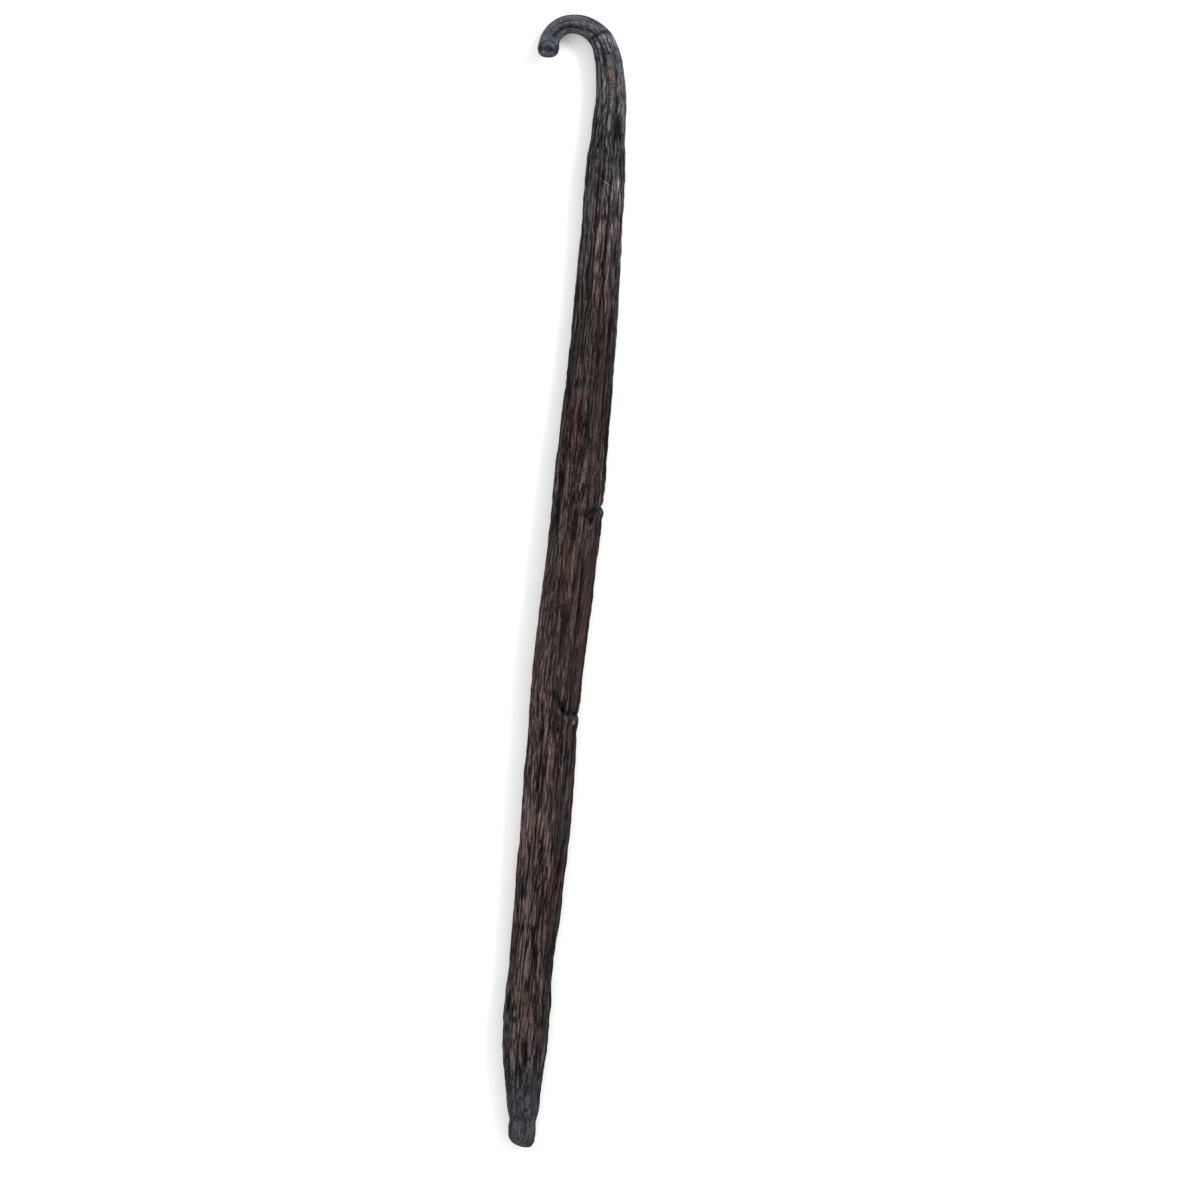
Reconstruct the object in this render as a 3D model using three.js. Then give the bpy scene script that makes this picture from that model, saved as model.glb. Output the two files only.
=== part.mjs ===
// A cured vanilla pod, whole and unopened, lying on a flat surface.
// Millimetres, +Z up. The origin is on the surface, under the middle of the pod.
// The stem end, bent round into its crook, points to +Y and the blossom end to -Y.
import * as THREE from "three";

// Driving dimensions
const COLUMNS = 44; // faces round the pod
const FINER_ON_TOP = 0.32; // how much closer the columns stand on the upper side
const FLATTENING = 2.3; // section exponent: 2 is an ellipse, more is boxier
const BED = 0.16; // how far the soft underside is pressed flat
const STEM_HEADING = 82.5; // degrees from +X towards +Y, from the stem scar into the pod
const STEM_CURL = 68; // degrees that the stem scar is turned up
const STEM_CURL_LENGTH = 3.6; // over which it comes down to the surface
const BLOSSOM_CURL = 24; // degrees that the blossom end is turned up
const BLOSSOM_CURL_LENGTH = 5.5;
const BLOSSOM_SLANT = 0.18; // the blossom end is cut askew: mm along for each mm across
const SLANT_RANGE = [175, 180]; // the slant sets in between these distances

// The spine, from the stem scar to the blossom end: the length of each stretch, and how far it
// turns to the left (+) or right (-), in degrees.
const STRETCHES = [
  { length: 1.2, turn: 2.75 }, // stem nub
  { length: 5.6, turn: -86.5 }, // tight end of the crook
  { length: 6.5, turn: -70.5 }, // open end of the crook
  { length: 4.3, turn: -14.5 },
  { length: 6.7, turn: -9.75 }, // neck
  { length: 8, turn: 2.75 },
  { length: 24, turn: -2 }, // body
  { length: 28, turn: -1 },
  { length: 18, turn: 0 },
  { length: 24, turn: 1.75 },
  { length: 24, turn: -2 },
  { length: 14, turn: 4 },
  { length: 9, turn: 2.25 }, // blossom end
  { length: 8, turn: -6 },
];
const SPINE_STEP = 0.05;

// Width of the pod seen from above, at distances along the spine.
const WIDTHS = [
  { at: -1.2, size: 3.1 }, // stem nub
  { at: 0.2, size: 3.25 },
  { at: 2.6, size: 2.95 },
  { at: 7, size: 2.9 },
  { at: 13.5, size: 3.75 },
  { at: 20.5, size: 4.5 },
  { at: 27.5, size: 5.1 },
  { at: 31.5, size: 5.8 }, // shoulder
  { at: 43, size: 6 },
  { at: 60, size: 6.65 },
  { at: 78, size: 7.35 },
  { at: 100, size: 7.7 },
  { at: 113, size: 7.6 },
  { at: 117, size: 7.3 }, // below the deep crease
  { at: 127, size: 7.5 },
  { at: 142, size: 7 },
  { at: 153.5, size: 6.5 },
  { at: 160, size: 6.8 },
  { at: 167, size: 6.4 },
  { at: 173, size: 5.15 },
  { at: 175.6, size: 4.7 },
  { at: 177.5, size: 3.95 }, // blossom neck
  { at: 179, size: 4.1 }, // blossom nub
  { at: 182.3, size: 3.7 },
];
// Thickness as a share of the width.
const SLIMNESS = [
  { at: 0, size: 0.98 },
  { at: 14, size: 0.94 },
  { at: 32, size: 0.8 },
  { at: 60, size: 0.73 },
  { at: 120, size: 0.69 },
  { at: 160, size: 0.72 },
  { at: 178, size: 0.86 },
  { at: 182.3, size: 0.9 },
];
// How far the underside stands off the surface.
const LIFTS = [
  { at: 0, size: 0.2 },
  { at: 10, size: 0.3 },
  { at: 26, size: 0.45 },
  { at: 44, size: 0 },
  { at: 70, size: 0 },
  { at: 92, size: 0.22 },
  { at: 115, size: 0 },
  { at: 135, size: 0 },
  { at: 150, size: 0.15 },
  { at: 165, size: 0 },
  { at: 182.3, size: 0 },
];

// Shallow folds of the shrunken skin, all round the pod.
const FOLD_DEPTH = 0.35;
const SMOOTH_SCAR = [1, 8]; // folds are faint before the first distance and full from the second
const LOBE_DEPTH = 0.1; // the pod is faintly three-sided
const SWAY = 0.1; // sideways wander of the outline

// Angles round the section: 0 is the inside of the crook, 90 the top, 180 the outside and 270
// the underside.
// Long furrows: where each starts and ends on the spine, and its angle there.
const FURROW_WIDTH = 0.55;
const FURROWS = [
  { from: 0.4, to: 9, start: 76, end: 62, depth: 0.5 },
  { from: 7, to: 26, start: 72, end: 84, depth: 0.26 },
  { from: 18, to: 32, start: 86, end: 160, depth: 0.4 },
  { from: 29, to: 60, start: 58, end: 66, depth: 0.3 },
  { from: 34, to: 78, start: 104, end: 92, depth: 0.34 },
  { from: 38, to: 84, start: 148, end: 138, depth: 0.4 },
  { from: 58, to: 104, start: 40, end: 54, depth: 0.34 },
  { from: 86, to: 118, start: 117, end: 131, depth: 0.5 },
  { from: 96, to: 113.5, start: 94, end: 87, depth: 0.42 },
  { from: 112, to: 146, start: 66, end: 74, depth: 0.34 },
  { from: 116, to: 170, start: 126, end: 142, depth: 0.42 },
  { from: 138, to: 177, start: 33, end: 42, depth: 0.4 },
  { from: 148, to: 176, start: 96, end: 84, depth: 0.3 },
  { from: 20, to: 74, start: 216, end: 204, depth: 0.4 },
  { from: 24, to: 66, start: 330, end: 318, depth: 0.36 },
  { from: 40, to: 96, start: 252, end: 262, depth: 0.4 },
  { from: 70, to: 122, start: 338, end: 346, depth: 0.4 },
  { from: 84, to: 150, start: 212, end: 224, depth: 0.42 },
  { from: 100, to: 172, start: 296, end: 280, depth: 0.4 },
  { from: 128, to: 174, start: 330, end: 318, depth: 0.34 },
];

// Creases across the pod: place on the spine, middle and reach round the section, depth, width
// along the pod, and slant in mm for each radian round it.
const CREASES = [
  { at: 11.5, around: 100, reach: 60, depth: 0.3, width: 0.45, slant: 0.64 },
  { at: 31.2, around: 110, reach: 70, depth: 0.2, width: 0.8, slant: 0.6 },
  { at: 83.8, around: 156, reach: 40, depth: 0.5, width: 0.6, slant: -1.25 },
  { at: 112.2, around: 76, reach: 18, depth: 0.22, width: 0.5, slant: 0.8 },
  { at: 113.6, around: 101, reach: 14, depth: 0.45, width: 0.9, slant: 5.4 },
  { at: 115, around: 146, reach: 42, depth: 0.55, width: 0.7, slant: 0.5 },
  { at: 136.1, around: 118, reach: 40, depth: 0.18, width: 0.7, slant: -0.5 },
  { at: 148, around: 66, reach: 45, depth: 0.14, width: 0.7, slant: 0.4 },
  { at: 158.2, around: 128, reach: 45, depth: 0.14, width: 0.7, slant: -0.6 },
];

// The two scars: rings from the pole out to the flank, with the distance in from the start or the
// end of the spine, and the share of the full section. The stem scar stands out beyond the start.
const STEM_SCAR = [
  { inset: -0.35, share: 0 }, // pit
  { inset: -0.45, share: 0.23 },
  { inset: -0.95, share: 0.36 },
  { inset: -1.15, share: 0.5 },
  { inset: -1.1, share: 0.62 },
  { inset: -0.8, share: 0.73 },
  { inset: -0.85, share: 0.84 },
  { inset: -1, share: 0.93 }, // rim
  { inset: -0.6, share: 1 },
];
const BLOSSOM_SCAR = [
  { inset: 0.12, share: 0 },
  { inset: 0.08, share: 0.25 },
  { inset: 0, share: 0.45 },
  { inset: 0.06, share: 0.68 },
  { inset: 0.25, share: 0.85 },
  { inset: 0.6, share: 0.95 },
  { inset: 1.1, share: 1 },
];

const length = STRETCHES.reduce((sum, stretch) => sum + stretch.length, 0);
const { clamp, degToRad, smoothstep } = THREE.MathUtils;

// A smooth curve through { at, size } stations.
function profile(stations) {
  const curve = new THREE.CubicInterpolant(
    stations.map((station) => station.at),
    stations.map((station) => station.size),
    1,
  );
  return (s) => curve.evaluate(s)[0];
}

const widthAt = profile(WIDTHS);
const slimnessAt = profile(SLIMNESS);
const liftAt = profile(LIFTS);

// Upward slope of the spine: the stem end comes down, the blossom end goes up.
function slopeAt(s) {
  const stem = STEM_CURL * (1 - smoothstep(s, 0, STEM_CURL_LENGTH));
  const blossom = BLOSSOM_CURL * smoothstep(s, length - BLOSSOM_CURL_LENGTH, length);
  return blossom - stem;
}

// The spine as a place and a tangent at every SPINE_STEP, walked along the stretches.
function walkSpine() {
  const points = [];
  const place = new THREE.Vector3();
  let heading = STEM_HEADING;
  for (const stretch of STRETCHES) {
    const steps = Math.round(stretch.length / SPINE_STEP);
    for (let i = 0; i < steps; i++) {
      const turn = degToRad(heading);
      const slope = degToRad(slopeAt(points.length * SPINE_STEP));
      const level = Math.cos(slope);
      const tangent = new THREE.Vector3(Math.cos(turn) * level, Math.sin(turn) * level, Math.sin(slope));
      points.push({ place: place.clone(), tangent });
      place.addScaledVector(tangent, SPINE_STEP);
      heading += stretch.turn / steps;
    }
  }
  return points;
}

const spine = walkSpine();
const levelHeight = spine[Math.round(STEM_CURL_LENGTH / SPINE_STEP)].place.z;

// Where the spine is at s, with its tangent, the direction to its side and its upward normal.
// Beyond either end it runs straight on.
function frameAt(s) {
  const index = clamp(s / SPINE_STEP, 0, spine.length - 1.001);
  const before = spine[Math.floor(index)];
  const after = spine[Math.floor(index) + 1];
  const share = index - Math.floor(index);
  const tangent = before.tangent.clone().lerp(after.tangent, share).normalize();
  const place = before.place.clone().lerp(after.place, share);
  place.addScaledVector(tangent, s - index * SPINE_STEP);
  const side = new THREE.Vector3(tangent.y, -tangent.x, 0).normalize();
  const up = side.clone().cross(tangent);
  return { place, tangent, side, up };
}

// Signed turn from one angle to another, in radians between -PI and PI.
function turnBetween(from, to) {
  return Math.atan2(Math.sin(to - from), Math.cos(to - from));
}

// Three waves round the pod that drift along it. Their sum, taken without its sign, has round
// crests between sharp grooves that now and then join.
function foldAt(angle, s) {
  const wide = Math.cos(5 * angle + 0.8 + s / 26);
  const middle = Math.cos(7 * angle - 1.3 - s / 33);
  const narrow = 0.8 * Math.cos(8 * angle + 2.1 + s / 19);
  const strength = 0.2 + 0.8 * smoothstep(s, ...SMOOTH_SCAR);
  return FOLD_DEPTH * strength * (Math.abs(wide + middle + narrow) / 2.8 - 0.33);
}

function furrowAt(angle, s, radius) {
  let depth = 0;
  for (const furrow of FURROWS) {
    const share = (s - furrow.from) / (furrow.to - furrow.from);
    if (share <= 0 || share >= 1) continue;
    const middle = degToRad(furrow.start + (furrow.end - furrow.start) * share);
    const off = (turnBetween(middle, angle) * radius) / FURROW_WIDTH;
    const fade = smoothstep(share, 0, 0.25) * (1 - smoothstep(share, 0.75, 1));
    const valley = 0.6 * Math.exp(-off * off) + 0.4 * Math.exp(-4 * Math.abs(off));
    depth += furrow.depth * fade * valley;
  }
  return depth;
}

// A crease wavers, and pushes up a low ridge on its side towards the blossom end.
function creaseAt(angle, s) {
  let depth = 0;
  for (const crease of CREASES) {
    const turn = turnBetween(degToRad(crease.around), angle);
    const waver =
      crease.depth * (0.5 * Math.sin(9 * angle + crease.at) + 0.3 * Math.sin(17 * angle + 2 * crease.at));
    const off = (s - crease.at - crease.slant * turn - waver) / crease.width;
    const fade = Math.exp(-((turn / degToRad(crease.reach)) ** 4));
    depth += crease.depth * fade * (Math.exp(-2 * Math.abs(off)) - 0.35 * Math.exp(-((off - 1.6) ** 2)));
  }
  return depth;
}

// Sine and cosine drawn out towards the corners of a flattened section.
function squared(value) {
  return Math.sign(value) * Math.abs(value) ** (2 / FLATTENING);
}

// One point of the skin: the flattened section with its folds, furrows and creases.
function skinPoint(s, angle, share) {
  const halfWidth = widthAt(s) / 2;
  const halfHeight = halfWidth * slimnessAt(s);
  const plump = halfWidth / 3.8; // relief is shallower where the pod is thin
  const lobe = LOBE_DEPTH * Math.cos(3 * angle + 1.1 + s / 45);
  const relief = plump * (foldAt(angle, s) + lobe) - furrowAt(angle, s, halfWidth) - creaseAt(angle, s);
  const across = share * (halfWidth * squared(Math.cos(angle)) + relief * Math.cos(angle));
  const above = share * (halfHeight * squared(Math.sin(angle)) + relief * Math.sin(angle));
  const sway = SWAY * plump * (Math.sin(s / 5.3) + Math.sin(s / 8.9 + 1)) / 2;
  const slide = BLOSSOM_SLANT * smoothstep(s, ...SLANT_RANGE) * across;
  const frame = frameAt(s - slide);
  const point = frame.place.clone();
  point.addScaledVector(frame.side, across + sway);
  point.addScaledVector(frame.up, above);
  point.z = Math.max(0, point.z - levelHeight + halfHeight + liftAt(s) - BED);
  return point;
}

// Rings stand close in the crook, at the blossom end and at the deep creases.
function ringStep(s) {
  const nearCrease = CREASES.some((crease) => Math.abs(s - crease.at) < 2.7 && crease.depth > 0.25);
  if (nearCrease) return 0.6;
  if (s < 26 || s > length - 12) return 1.1;
  return 2.4;
}

// Every ring from the stem scar to the blossom scar.
function ringList() {
  const rings = STEM_SCAR.map(({ inset, share }) => ({ s: inset, share }));
  for (let s = 0.1; s < length - 1.9; s += ringStep(s)) rings.push({ s, share: 1 });
  for (const { inset, share } of [...BLOSSOM_SCAR].reverse()) rings.push({ s: length - inset, share });
  return rings;
}

// The pod is a sphere whose rows become the rings and whose poles are the two scars.
function podGeometry() {
  const rings = ringList();
  const geometry = new THREE.SphereGeometry(1, COLUMNS, rings.length - 1);
  const position = geometry.getAttribute("position");
  rings.forEach(({ s, share }, row) => {
    for (let column = 0; column <= COLUMNS; column++) {
      const even = (2 * Math.PI * (column % COLUMNS)) / COLUMNS;
      const angle = even + FINER_ON_TOP * Math.cos(even);
      const point = skinPoint(s, angle, share);
      position.setXYZ(row * (COLUMNS + 1) + column, point.x, point.y, point.z);
    }
  });
  geometry.computeBoundingBox();
  const middle = geometry.boundingBox.getCenter(new THREE.Vector3());
  geometry.translate(-middle.x, -middle.y, -geometry.boundingBox.min.z);
  geometry.computeVertexNormals();
  return geometry;
}

function curedSkin() {
  return new THREE.MeshStandardMaterial({ color: 0x3c3230, roughness: 0.5, metalness: 0 });
}

const vanillaPod = new THREE.Group();
const pod = new THREE.Mesh(podGeometry(), curedSkin());
pod.name = "pod";
vanillaPod.add(pod);

export default vanillaPod;
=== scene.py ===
# %% [markdown]
# # A cured vanilla pod
# A vanilla pod is a long fruit that was picked green, scalded, sweated and dried for months. It
# ends up dark, flat and wrinkled, with the stem end bent round into a crook. This lesson models
# one pod at its real size, in metres, lying on a white table.
#
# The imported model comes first, as a fixed frame. It holds the plain solid of the pod, and the
# pod that is modelled here takes its place and keeps to its size.

# %% The frame
import math

import bpy
import numpy as np
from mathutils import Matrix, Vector, noise


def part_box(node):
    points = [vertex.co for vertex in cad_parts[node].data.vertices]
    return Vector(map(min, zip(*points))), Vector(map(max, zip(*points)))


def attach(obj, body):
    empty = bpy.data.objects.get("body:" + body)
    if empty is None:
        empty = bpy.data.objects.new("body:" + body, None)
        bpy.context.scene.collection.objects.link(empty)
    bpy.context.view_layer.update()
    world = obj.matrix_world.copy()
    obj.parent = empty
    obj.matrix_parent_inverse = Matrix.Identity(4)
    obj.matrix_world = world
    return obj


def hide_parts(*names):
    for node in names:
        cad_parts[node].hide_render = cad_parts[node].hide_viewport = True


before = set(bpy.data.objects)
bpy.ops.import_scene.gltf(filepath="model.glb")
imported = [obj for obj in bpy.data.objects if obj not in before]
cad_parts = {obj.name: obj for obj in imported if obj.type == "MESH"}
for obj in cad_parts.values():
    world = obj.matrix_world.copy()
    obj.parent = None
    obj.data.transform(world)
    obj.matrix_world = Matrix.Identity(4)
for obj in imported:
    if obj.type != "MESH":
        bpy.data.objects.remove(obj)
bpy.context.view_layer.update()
MM = 0.001
print("frame nodes:", sorted(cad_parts))


# %% [markdown]
# ## The spine
# The pod is modelled straight, because wrinkles and colours are easy to lay out along a straight
# axis, and is bent afterwards. The line that it is bent along is worked out as a walk: each
# stretch has a length and a turn, so the crook is a few short stretches that turn a lot and the
# body is long ones that hardly turn. The stem scar is turned up, and the blossom end rises a
# little from the table.

# %% Spine
STEM_HEADING = 82.5  # degrees from +X towards +Y
STEM_CURL = 68  # degrees that the stem scar is turned up
STEM_CURL_LENGTH = 3.6 * MM
BLOSSOM_CURL = 24  # degrees that the blossom end rises
BLOSSOM_CURL_LENGTH = 5.5 * MM
STRETCHES = (  # length in mm, turn to the left in degrees
    (1.2, 2.75), (5.6, -86.5), (6.5, -70.5), (4.3, -14.5), (6.7, -9.75), (8, 2.75), (24, -2),
    (28, -1), (18, 0), (24, 1.75), (24, -2), (14, 4), (9, 2.25), (8, -6),
)
LENGTH = sum(length for length, _ in STRETCHES) * MM
SPINE_STEP = 0.25 * MM


def smoothstep(value, low, high):
    """0 under low, 1 over high, smooth between them."""
    share = np.clip((np.asarray(value, float) - low) / (high - low), 0, 1)
    return share * share * (3 - 2 * share)


def walk_spine():
    """Points along the middle of the pod, SPINE_STEP apart, from the stem scar."""
    points = [np.zeros(3)]
    heading = STEM_HEADING
    for length, turn in STRETCHES:
        steps = round(length * MM / SPINE_STEP)
        for _ in range(steps):
            heading += turn / steps / 2  # half the turn before the step, half after it
            s = (len(points) - 0.5) * SPINE_STEP
            slope = BLOSSOM_CURL * smoothstep(s, LENGTH - BLOSSOM_CURL_LENGTH, LENGTH)
            slope -= STEM_CURL * (1 - smoothstep(s, 0, STEM_CURL_LENGTH))
            turned, raised = math.radians(heading), math.radians(slope)
            level = math.cos(raised)
            way = (math.cos(turned) * level, math.sin(turned) * level, math.sin(raised))
            points.append(points[-1] + SPINE_STEP * np.array(way))
            heading += turn / steps / 2
    return np.array(points)


spine = walk_spine()
print(f"spine: {LENGTH / MM:.1f} mm in {len(spine)} points")


# %% [markdown]
# ## Sizes along the pod
# Width, thickness and height off the table change slowly along a real pod, so a few stations are
# enough, joined by a smooth curve. The curve is a cubic one whose slope at each station is the
# slope between its neighbours, which keeps it close to the stations.

# %% Sizes along the pod
WIDTHS = (  # distance from the stem scar and width, in mm
    (-1.2, 3.1), (0.2, 3.25), (2.6, 2.95), (7, 2.9), (13.5, 3.75), (20.5, 4.5), (27.5, 5.1),
    (31.5, 5.8), (43, 6.0), (60, 6.65), (78, 7.35), (100, 7.7), (113, 7.6), (117, 7.3),
    (127, 7.5), (142, 7), (153.5, 6.5), (160, 6.8), (167, 6.4), (173, 5.15), (175.6, 4.7),
    (177.5, 3.95), (179, 4.1), (182.3, 3.7),
)
SLIMNESS = (  # distance in mm and thickness as a share of the width
    (0, 0.98), (14, 0.94), (32, 0.8), (60, 0.73), (120, 0.69), (160, 0.72), (178, 0.86),
    (182.3, 0.9),
)
LIFTS = (  # distance and height of the underside off the table, in mm
    (0, 0.2), (10, 0.3), (26, 0.45), (44, 0), (70, 0), (92, 0.22), (115, 0), (135, 0),
    (150, 0.15), (165, 0), (182.3, 0),
)
BED = 0.16 * MM  # how far the underside is pressed flat


def profile(stations, s):
    """The smooth curve through the stations, read at every distance in s."""
    at, size = (np.array(column, float) for column in zip(*stations))
    slope = np.gradient(size, at)
    slope[1:-1] = (size[2:] - size[:-2]) / (at[2:] - at[:-2])
    place = np.clip(np.asarray(s) / MM, at[0], at[-1])
    i = np.clip(np.searchsorted(at, place) - 1, 0, len(at) - 2)
    span = at[i + 1] - at[i]
    t = (place - at[i]) / span
    from_sizes = size[i] * (1 + 2 * t) * (1 - t) ** 2 + size[i + 1] * t * t * (3 - 2 * t)
    from_slopes = slope[i] * t * (1 - t) ** 2 - slope[i + 1] * t * t * (1 - t)
    return from_sizes + span * from_slopes


def half_width(s):
    return profile(WIDTHS, s) * MM / 2


def half_height(s):
    return half_width(s) * profile(SLIMNESS, s)


def spine_height(s):
    """How high the middle of the pod runs over the table."""
    return half_height(s) + profile(LIFTS, s) * MM - BED


print("widest:", round(2 * half_width(np.linspace(0, LENGTH, 200)).max() / MM, 2), "mm")


# %% [markdown]
# ## Where the rings go
# A pod is a tube that closes at both ends, so it can be built ring by ring. Caps made on their
# own would leave a seam, so the ends are part of the same chain. At the stem end the chain begins
# inside the scar, comes out over its rim and goes on along the pod. At the blossom end it closes
# in a blunt dome. Rings stand close together where the form changes quickly: in the crook, at
# both ends and at the deep creases.

# %% Ring list
FIRST_RING = 0.1  # distance of the first full ring from the stem scar, in mm
LAST_GAP = 2.2  # no full ring is nearer than this to the blossom end, in mm
OPEN_SPACING = 5.6  # of rings where the form hardly changes, in mm
STEM_SCAR = (  # distance in mm and share of the full section, from the middle to the rim
    (-0.35, 0.12), (-0.45, 0.23), (-0.95, 0.36), (-1.15, 0.5), (-1.1, 0.62), (-0.8, 0.73),
    (-0.85, 0.84), (-1.0, 0.93), (-0.6, 1.0),
)
BLOSSOM_SCAR = (  # distance in from the end in mm and share, from the rim to the middle
    (1.1, 1.0), (0.6, 0.95), (0.25, 0.85), (0.06, 0.68), (0, 0.45), (0.08, 0.25),
)
CLOSE_STRETCHES = (  # from, to and spacing, in mm
    (0, 15, 1.9), (30, 33, 2), (82.4, 85, 0.9), (111, 116, 1.1),
    (LENGTH / MM - 13, LENGTH / MM, 2.2),
)


def ring_spacing(s_mm):
    """The way to the next ring, which never jumps over the start of a close stretch."""
    for low, high, spacing in CLOSE_STRETCHES:
        if low <= s_mm < high:
            return spacing
    return min([OPEN_SPACING] + [low - s_mm for low, _, _ in CLOSE_STRETCHES if low > s_mm])


def ring_list():
    """Every ring's distance along the axis in metres, and its share of the full section."""
    rings = [(inset * MM, share) for inset, share in STEM_SCAR]
    s_mm = FIRST_RING
    while s_mm < LENGTH / MM - LAST_GAP:
        rings.append((s_mm * MM, 1))
        s_mm += ring_spacing(s_mm)
    return rings + [(LENGTH - inset * MM, share) for inset, share in BLOSSOM_SCAR]


rings = ring_list()
print("cage rings:", len(rings))


# %% [markdown]
# ## A straight cage
# A curve with a bevel would make a tube too, but its section couldn't grow flatter along the way.
# So a filled circle is added at the first ring and turned to face along the pod. Each extrusion
# carries that face on to the next ring, and a resize gives it the width and thickness there, so
# the cage is closed from end to end. A Subdivision Surface modifier then rounds it and gives it
# enough vertices for fine wrinkles.

# %% Cage
CAGE_COLUMNS = 24
CAGE_LEVELS = 3


def extrude_cage(name):
    """A straight, closed cage along +Y, extruded from one circle."""
    bpy.ops.object.select_all(action="DESELECT")
    s, share = rings[0]
    bpy.ops.mesh.primitive_circle_add(
        vertices=CAGE_COLUMNS, radius=share * half_width(s), fill_type="NGON",
        location=(0, s, 0), rotation=(math.radians(90), 0, 0),
    )
    cage = bpy.context.active_object
    cage.name = name
    cage.data.uv_layers.remove(cage.data.uv_layers[0])
    bpy.ops.object.transform_apply(location=True, rotation=True, scale=True)
    bpy.ops.object.mode_set(mode="EDIT")
    bpy.ops.mesh.select_all(action="SELECT")
    flatten = profile(SLIMNESS, s)
    bpy.ops.transform.resize(value=(1, 1, flatten), center_override=(0, s, 0))
    wide, high = share * half_width(s), share * half_height(s)
    for next_s, next_share in rings[1:]:
        bpy.ops.mesh.extrude_region_move(TRANSFORM_OT_translate={"value": (0, next_s - s, 0)})
        next_wide, next_high = next_share * half_width(next_s), next_share * half_height(next_s)
        bpy.ops.transform.resize(
            value=(next_wide / wide, 1, next_high / high), center_override=(0, next_s, 0),
        )
        s, wide, high = next_s, next_wide, next_high
    bpy.ops.mesh.select_all(action="SELECT")
    bpy.ops.mesh.normals_make_consistent(inside=False)
    bpy.ops.object.mode_set(mode="OBJECT")
    return cage


pod = extrude_cage("pod_skin")
subdivide = pod.modifiers.new("Fine skin", "SUBSURF")
subdivide.levels = subdivide.render_levels = CAGE_LEVELS
bpy.ops.object.modifier_apply(modifier=subdivide.name)
print("fine skin:", len(pod.data.vertices), "vertices")


# %% [markdown]
# ## Where each vertex lies on the straight pod
# Everything that follows needs three numbers for each vertex: its distance from the stem scar,
# its angle round the section and its share of the full section, which is under 1 only on the two
# scars. They are read from the straight mesh once. Angle 0 is the inside of the crook, 90 the
# top, 180 the outside and 270 the underside.

# %% Vertex places
FINER_ON_TOP = 0.32  # vertices crowd together on the side that shows
BLOSSOM_CAP = 0.9 * MM  # length of the dome at the blossom end
FULL_RADIUS = 3.8 * MM  # of the body, where the relief has its full depth


def read_vertices(mesh):
    co = np.zeros(len(mesh.vertices) * 3)
    mesh.vertices.foreach_get("co", co)
    return co.reshape(-1, 3)


def write_vertices(mesh, co):
    mesh.vertices.foreach_set("co", co.ravel())
    mesh.update()


straight = read_vertices(pod.data)
along = straight[:, 1]
sideways = straight[:, 0] / half_width(along)
upwards = straight[:, 2] / half_height(along)
reach = np.hypot(sideways, upwards)
even = np.arctan2(upwards, sideways)
on_flank = (along > 0) & (along < LENGTH - BLOSSOM_CAP)
share = np.where(on_flank, 1, np.minimum(reach / reach[on_flank].mean(), 1))
angle = even + FINER_ON_TOP * np.cos(even)
radius = half_width(along)
plump = radius / FULL_RADIUS
print("share of full section on the scars:", share.min().round(2), "to", share.max().round(2))


# %% [markdown]
# ## Furrows and creases
# The skin shrank round a core that shrank more, so it is folded along the pod. Big forms first:
# long furrows, each given by where it starts and ends, and a few creases across the pod where it
# was bent while soft. They could be sculpted by hand, but a formula puts each of them exactly in
# its place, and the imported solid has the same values, so both have the same forms.

# %% Furrows and creases
FURROW_WIDTH = 0.55 * MM
FURROWS = (  # from and to in mm, angle at the start and at the end, depth in mm
    (0.4, 9, 76, 62, 0.5), (7, 26, 72, 84, 0.26), (18, 32, 86, 160, 0.4),
    (29, 60, 58, 66, 0.3), (34, 78, 104, 92, 0.34), (38, 84, 148, 138, 0.4),
    (58, 104, 40, 54, 0.34), (86, 118, 117, 131, 0.5), (96, 113.5, 94, 87, 0.42),
    (112, 146, 66, 74, 0.34), (116, 170, 126, 142, 0.42), (138, 177, 33, 42, 0.4),
    (148, 176, 96, 84, 0.3), (20, 74, 216, 204, 0.4), (24, 66, 330, 318, 0.36),
    (40, 96, 252, 262, 0.4), (70, 122, 338, 346, 0.4), (84, 150, 212, 224, 0.42),
    (100, 172, 296, 280, 0.4), (128, 174, 330, 318, 0.34),
)
CREASES = (  # place in mm, middle and reach in degrees, depth and width in mm, slant in mm a radian
    (11.5, 100, 60, 0.3, 0.45, 0.64), (31.2, 110, 70, 0.2, 0.8, 0.6),
    (83.8, 156, 40, 0.5, 0.6, -1.25), (112.2, 76, 18, 0.22, 0.5, 0.8),
    (113.6, 101, 14, 0.45, 0.9, 5.4), (115, 146, 42, 0.55, 0.7, 0.5),
    (136.1, 118, 40, 0.18, 0.7, -0.5), (148, 66, 45, 0.14, 0.7, 0.4),
    (158.2, 128, 45, 0.14, 0.7, -0.6),
)


def turn_between(start, end):
    """The shorter way round from one angle to the other, in radians."""
    return np.arctan2(np.sin(end - start), np.cos(end - start))


def furrow_depth():
    """Each furrow is a rounded valley with a sharp fold at its bottom."""
    depth = np.zeros_like(along)
    for low, high, start, end, deep in FURROWS:
        way = (along / MM - low) / (high - low)
        middle = np.radians(start + (end - start) * way)
        off = turn_between(middle, angle) * radius / FURROW_WIDTH
        fade = smoothstep(way, 0, 0.25) * (1 - smoothstep(way, 0.75, 1))
        valley = 0.6 * np.exp(-off * off) + 0.4 * np.exp(-np.abs(off) * 4)
        depth += deep * MM * fade * valley
    return depth


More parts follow.
